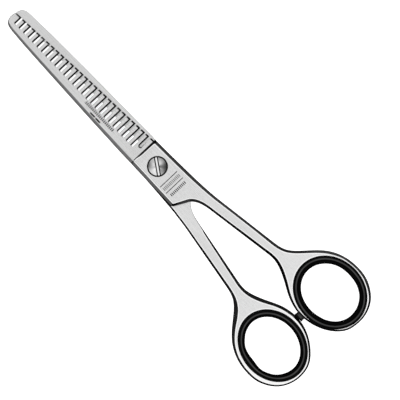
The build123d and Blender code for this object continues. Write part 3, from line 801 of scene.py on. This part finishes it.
def plain_blade():
    pts, wb, db, wt, gr = [], [], [], [], []
    for p in np.concatenate([cubic([(6.8, -6.05)] + BACK, (1, 0), (1, 0.055), 0.8)[:-1],
                             cubic(BACK_TIP, (1, 0.055), (0.25, 1), 0.3)[:-1]]):
        k = float(np.interp(p[0], [60, 75], [0.7, 0.35]))
        pts.append(tuple(p))
        wb.append(k)
        db.append(k)
        wt.append(0.12)
        gr.append(0.06)
    for p in np.concatenate([cubic([(75.0, -1.05), (10.7, edge_y(10.7))], (-1, 0), (-1, 0), 0.8)[:-1],
                             cubic([(10.7, edge_y(10.7)), (10.35, -0.9), (9.6, 1.6), (6.9, 3.4)], (-1, 0), (-1, 0), 0.3)]):
        k = float(np.interp(p[0], [50, 72, 75], [1.8, 1.1, 0.5]))
        pts.append(tuple(p))
        wb.append(k)
        db.append(2.98 - 0.12 - plain_low(*p))
        wt.append(0.0)
        gr.append(0.0)
    wb[-1] = db[-1] = 0.0                              # end hidden in the boss
    return slab(np.array(pts), plain_top, plain_low, wt, np.array(wt) * 0.6, under=wb, under_drop=db, grow=gr)


build("plain_half_look", [p_handle, plain_blade()], [M_PLAIN, M_BEVEL, M_SLOT_SHADE, M_SIDE_SHADE, M_FACET_HIGHLIGHT], "plain", "plain_half", 8)

# ------------------------------------------------------------------ soft inserts
# how far the hole's edge departs from a true oval, every six degrees
WAVE = {"plain": [(0, .02), (12, 0), (24, .08), (30, .03), (36, .10), (48, .20), (54, .16), (60, .10), (66, 0),
                  (72, -.12), (78, -.22), (84, -.23), (90, -.19), (96, -.04), (102, .14), (108, .28), (114, .36),
                  (120, .35), (126, .32), (132, .29), (138, .30), (144, .23), (150, .17), (156, .06), (162, 0),
                  (174, -.06), (186, 0), (360, .02)],
        "comb": [(0, 0), (48, .07), (66, 0), (114, -.06), (126, .08), (150, .17), (168, .10), (186, -.02),
                 (204, .05), (216, .17), (222, .21), (240, .18), (252, .08), (264, 0), (282, .05), (294, .14),
                 (312, .16), (330, .08), (360, 0)]}


def insert(side, crest):
    cx, cy = HOLE_C[side]
    (ha, hb), (la, lb) = HOLE[side], LIP[side]
    full = (la - ha + lb - hb) / 2
    # section from the mid plane inside the hole, over the crest, to the ring's face: share of width, height
    c = crest / full
    k = 0.25 / full
    sec = [(0.0, 0.0), (0.0, 1.0), (0.03, 1.45), (0.10, 1.75), (0.25, 2.12), (c * 0.72, 2.60), (c - k, 2.93),
           (c + k, 2.95), (c + (1 - c) * 0.35, 2.74), (c + (1 - c) * 0.8, 2.42),
           (1.0, 2.22), (1.0, 1.92), (0.50, 1.92), (0.50, 0.0)]
    crest_row = 6
    sec = sec + [(u, -z) for u, z in sec[-2:0:-1]]
    N_ = 220
    M = Mesh()
    rings = []
    th = np.linspace(0, 2 * math.pi, N_, endpoint=False)
    ta = np.array([q[0] for q in WAVE[side]], float)
    tv = np.array([q[1] for q in WAVE[side]], float)
    for u, z in sec:
        a, b = ha + (la - ha) * u, hb + (lb - hb) * u
        p = oval(0, 0, a, b, TILT[side], N_)
        r = np.linalg.norm(p, axis=1)
        deg = np.degrees(np.arctan2(p[:, 1], p[:, 0])) % 360
        push = np.interp(deg, ta, tv) * max(0.0, 1 - u * 1.3)
        p = p * (1 + push / r)[:, None]
        rings.append(M.ring(p + np.array([cx, cy]), 3.0 + z))
    for i in range(len(rings)):
        # the crest strip takes the lighter rubber: painted highlight
        M.strip(rings[(i + 1) % len(rings)], rings[i], 1 if i == crest_row else 0)
    return M


build("insert_comb_look", [insert("comb", 1.88)], [M_RUBBER, M_CREST_HIGHLIGHT], "comb", "insert_comb", 35)
build("insert_plain_look", [insert("plain", 1.38)], [M_RUBBER, M_CREST_HIGHLIGHT], "plain", "insert_plain", 35)


# ------------------------------------------------------------------ stop bumper between the rings
def bumper():
    M = Mesh()
    t = np.linspace(0, 2 * math.pi, 64, endpoint=False)
    rings = []
    for y, r in ((-2.6, 0.02), (-2.6, 1.0), (-1.5, 1.0), (-1.5, 1.76), (-0.86, 1.78), (-0.80, 1.70), (0.10, 1.70),
                 (0.16, 1.78), (0.62, 1.78), (0.69, 1.72), (0.69, 0.9), (0.66, 0.02)):
        s_ = len(M.v)
        M.v += [(-74.0 + r * math.cos(q), y, 3.0 + r * math.sin(q)) for q in t]
        rings.append(list(range(s_, s_ + 64)))
    for i, (lo_, hi_) in enumerate(zip(rings[:-1], rings[1:])):
        # the waist strip takes the lighter, shinier rubber: painted highlight
        M.strip(hi_, lo_, 1 if i == 5 else 0)
    M.f.append(tuple(rings[0]))
    M.f.append(tuple(rings[-1][::-1]))
    M.m += [0, 0]
    return M


build("bumper_look", [bumper()], [M_RUBBER, M_BUMPER_HIGHLIGHT], "comb", "bumper", 35)


# ------------------------------------------------------------------ pivot screw
def screw():
    M = Mesh()
    ang = math.radians(-33.5)
    ux, uy = math.cos(ang), math.sin(ang)
    R, F, W = 3.72, 0.31, 0.74                         # head radius, half width of slot floor and of slot mouth
    th = set(np.round(np.linspace(0, 2 * math.pi, 72, endpoint=False), 9))
    for d in (F, W):
        q = math.asin(d / R)
        th |= {round((ang + s * q + k * math.pi) % (2 * math.pi), 9) for s in (1, -1) for k in (0, 1)}
    th = np.array(sorted(th))
    keep = np.concatenate([[True], np.diff(th) > 1e-6])
    th = th[keep]
    ring = np.stack([R * np.cos(th), R * np.sin(th)], 1)

    def height(x, y):
        r = math.hypot(x, y)
        z = 6.74 - 0.022 * r * r if r < 3.24 else 6.509 - (r - 3.24) * 2.6
        d = abs(-x * uy + y * ux)
        cut = 5.95 if d <= F + 1e-4 else 5.95 + (d - F) / (W - F) * 0.76
        return min(z, cut) if d < W - 1e-4 else z
    lines = []
    for d in (F, -F, W, -W):
        h = math.sqrt(R * R - d * d)
        lines.append([(ux * s - uy * d, uy * s + ux * d) for s in np.linspace(-h, h, 24)])
    for r in (0.8, 1.6, 2.4, 3.0, 3.24):
        c = circle(0, 0, r, 72)
        lines.append([tuple(p) for p in c] + [tuple(c[0])])

    # the slot's sides and the head's steep rim take the near-black steel: painted shade
    def pick(x, y):
        d = abs(-x * uy + y * ux)
        r = math.hypot(x, y)
        return 2 if r > 3.24 else (1 if d < F else (2 if d < W else 0))
    top = M.ring(ring, [height(*p) for p in ring])
    M.fill(top, [], height, True, extra=lines, pick=pick)
    prev = top
    for r, z in ((R, 4.74), (2.48, 4.74), (2.48, 2.96), (1.96, 2.96), (1.96, 0.62)):
        now = M.ring(ring * (r / R), z)
        M.strip(now, prev, 3)
        prev = now
    M.f.append(tuple(prev[::-1]))
    M.m.append(3)
    return M


build("pivot_screw_look", [screw()], [M_SCREW_REFLECTION, M_SCREW, M_SLOT_SHADE, M_BEVEL], "screw", "pivot_screw", 30)


# ------------------------------------------------------------------ etched marks (plain lines and even ticks, no lettering)
def bar(M, p, q, width, zf):
    """A thin raised bar from p to q."""
    p, q = np.array(p, float), np.array(q, float)
    d = (q - p) / np.linalg.norm(q - p)
    nn = np.array([-d[1], d[0]]) * width / 2
    c = [p - nn, q - nn, q + nn, p + nn]
    lo_ = M.ring(c, [zf(*k) - 0.02 for k in c])
    hi_ = M.ring(c, [zf(*k) + 0.012 for k in c])
    M.strip(lo_, hi_)
    M.f += [tuple(hi_), tuple(lo_[::-1])]
    M.m += [0, 0]


M = Mesh()
for x in (-9.13, -6.07):                               # two plain lines, open at both ends
    bar(M, (x, -3.9), (x, 4.4), 0.30, hi_z)
MID = Mesh()
for i in range(13):                                    # even scale of ticks between them
    y = -3.5 + 0.62 * i
    bar(MID, (-8.25, y), (-6.95, y), 0.32, hi_z)
M2 = Mesh()
for i in range(11):                                    # second scale nearer the crotch
    y = -3.2 + 0.66 * i
    bar(M2, (-11.4, y), (-10.3, y), 0.34, hi_z)
for i in range(20):                                    # scale along the blade
    x = 20.4 + 0.72 * i
    bar(M2, (x, 2.25), (x, 3.35), 0.36, comb_top)
for x in (25.42, 28.20):                               # two short rules above it
    bar(M2, (x, 4.25), (x + 2.3, 4.25), 0.60, comb_top)
build("etched_lines", [M], [M_MARK2], "comb", None, 35)
build("etched_ticks_soft", [MID], [M_MARK3], "comb", None, 35)
build("etched_ticks", [M2], [M_MARK], "comb", None, 35)

for node, m in (("pivot_washer", M_WASHER),):
    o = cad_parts[node]
    o.data.materials.clear()
    o.data.materials.append(m)

# ------------------------------------------------------------------ stage
bpy.ops.mesh.primitive_plane_add(size=6.0, location=(0, 0, -0.0004))
floor = bpy.context.object
floor.name = "floor"
N = Nodes("pale_floor")
N.b.inputs["Base Color"].default_value = (0.9, 0.9, 0.9, 1)
N.b.inputs["Roughness"].default_value = 1.0
N.b.inputs["Specular IOR Level"].default_value = 0.0
N.b.inputs["Emission Color"].default_value = (1, 1, 1, 1)
N.b.inputs["Emission Strength"].default_value = 1.0
floor.data.materials.append(N.mat)
floor.visible_glossy = False

world = bpy.data.worlds.new("studio")
scene.world = world
world.use_nodes = True
wt = world.node_tree
wt.nodes.clear()
wo = wt.nodes.new("ShaderNodeOutputWorld")
bg = wt.nodes.new("ShaderNodeBackground")
tc = wt.nodes.new("ShaderNodeTexCoord")
sep = wt.nodes.new("ShaderNodeSeparateXYZ")
rm = wt.nodes.new("ShaderNodeValToRGB")
wt.links.new(tc.outputs["Generated"], sep.inputs[0])
mr = wt.nodes.new("ShaderNodeMapRange")
mr.inputs["From Min"].default_value = -1
mr.inputs["From Max"].default_value = 1
wt.links.new(sep.outputs["Z"], mr.inputs["Value"])
wt.links.new(mr.outputs[0], rm.inputs[0])
# brightness of the studio by height above the horizon, in degrees: dark below, a softbox overhead, a brighter ring round it
SKY = [(-90, 0.50), (-76, 0.42), (-64, 0.05), (-52, 0.003), (-32, 0.003), (-20, 0.014), (-8, 0.045), (0, 0.10), (8, 0.20), (20, 0.40), (35, 0.78), (50, 1.0),
       (62, 1.06), (75, 1.03), (90, 1.0)]
el = rm.color_ramp.elements
while len(el) > 1:
    el.remove(el[0])
for i, (deg, v) in enumerate(SKY):
    p = (1 + math.sin(math.radians(deg))) / 2
    e = el[0] if i == 0 else el.new(p)
    e.position = p
    e.color = (v / 1.5,) * 3 + (1,)
wt.links.new(rm.outputs[0], bg.inputs["Color"])
bg.inputs["Strength"].default_value = 1.5
wt.links.new(bg.outputs[0], wo.inputs[0])

# ------------------------------------------------------------------ camera
PIVOT_PX = (157.46, 166.50)          # where the pivot axis sits in the 400 x 400 frame
PX_MM = 0.3577
TURN = math.radians(46.65)
DIST = 1500.0
ex = (-math.cos(TURN), -math.sin(TURN))
ey = (-math.sin(TURN), math.cos(TURN))
dx, dy = (200 - PIVOT_PX[0]) * PX_MM, (200 - PIVOT_PX[1]) * PX_MM
cx = dx * ex[0] + dy * ex[1]
cy = dx * ey[0] + dy * ey[1]
cam_data = bpy.data.cameras.new("camera")
cam = bpy.data.objects.new("camera", cam_data)
scene.collection.objects.link(cam)
cam.location = (cx * MM, cy * MM, (DIST + 5.0) * MM)
right = Vector((ex[0], ey[0], 0))
up = Vector((-ex[1], -ey[1], 0))
rot = Matrix((right, up, Vector((0, 0, 1)))).transposed()
cam.rotation_euler = rot.to_euler()
cam_data.sensor_width = 36.0
cam_data.lens = 36.0 * DIST / (400 * PX_MM)
cam_data.clip_start = 0.01
cam_data.clip_end = 20
scene.camera = cam
print("camera", cam.location, [math.degrees(a) for a in cam.rotation_euler], cam_data.lens)
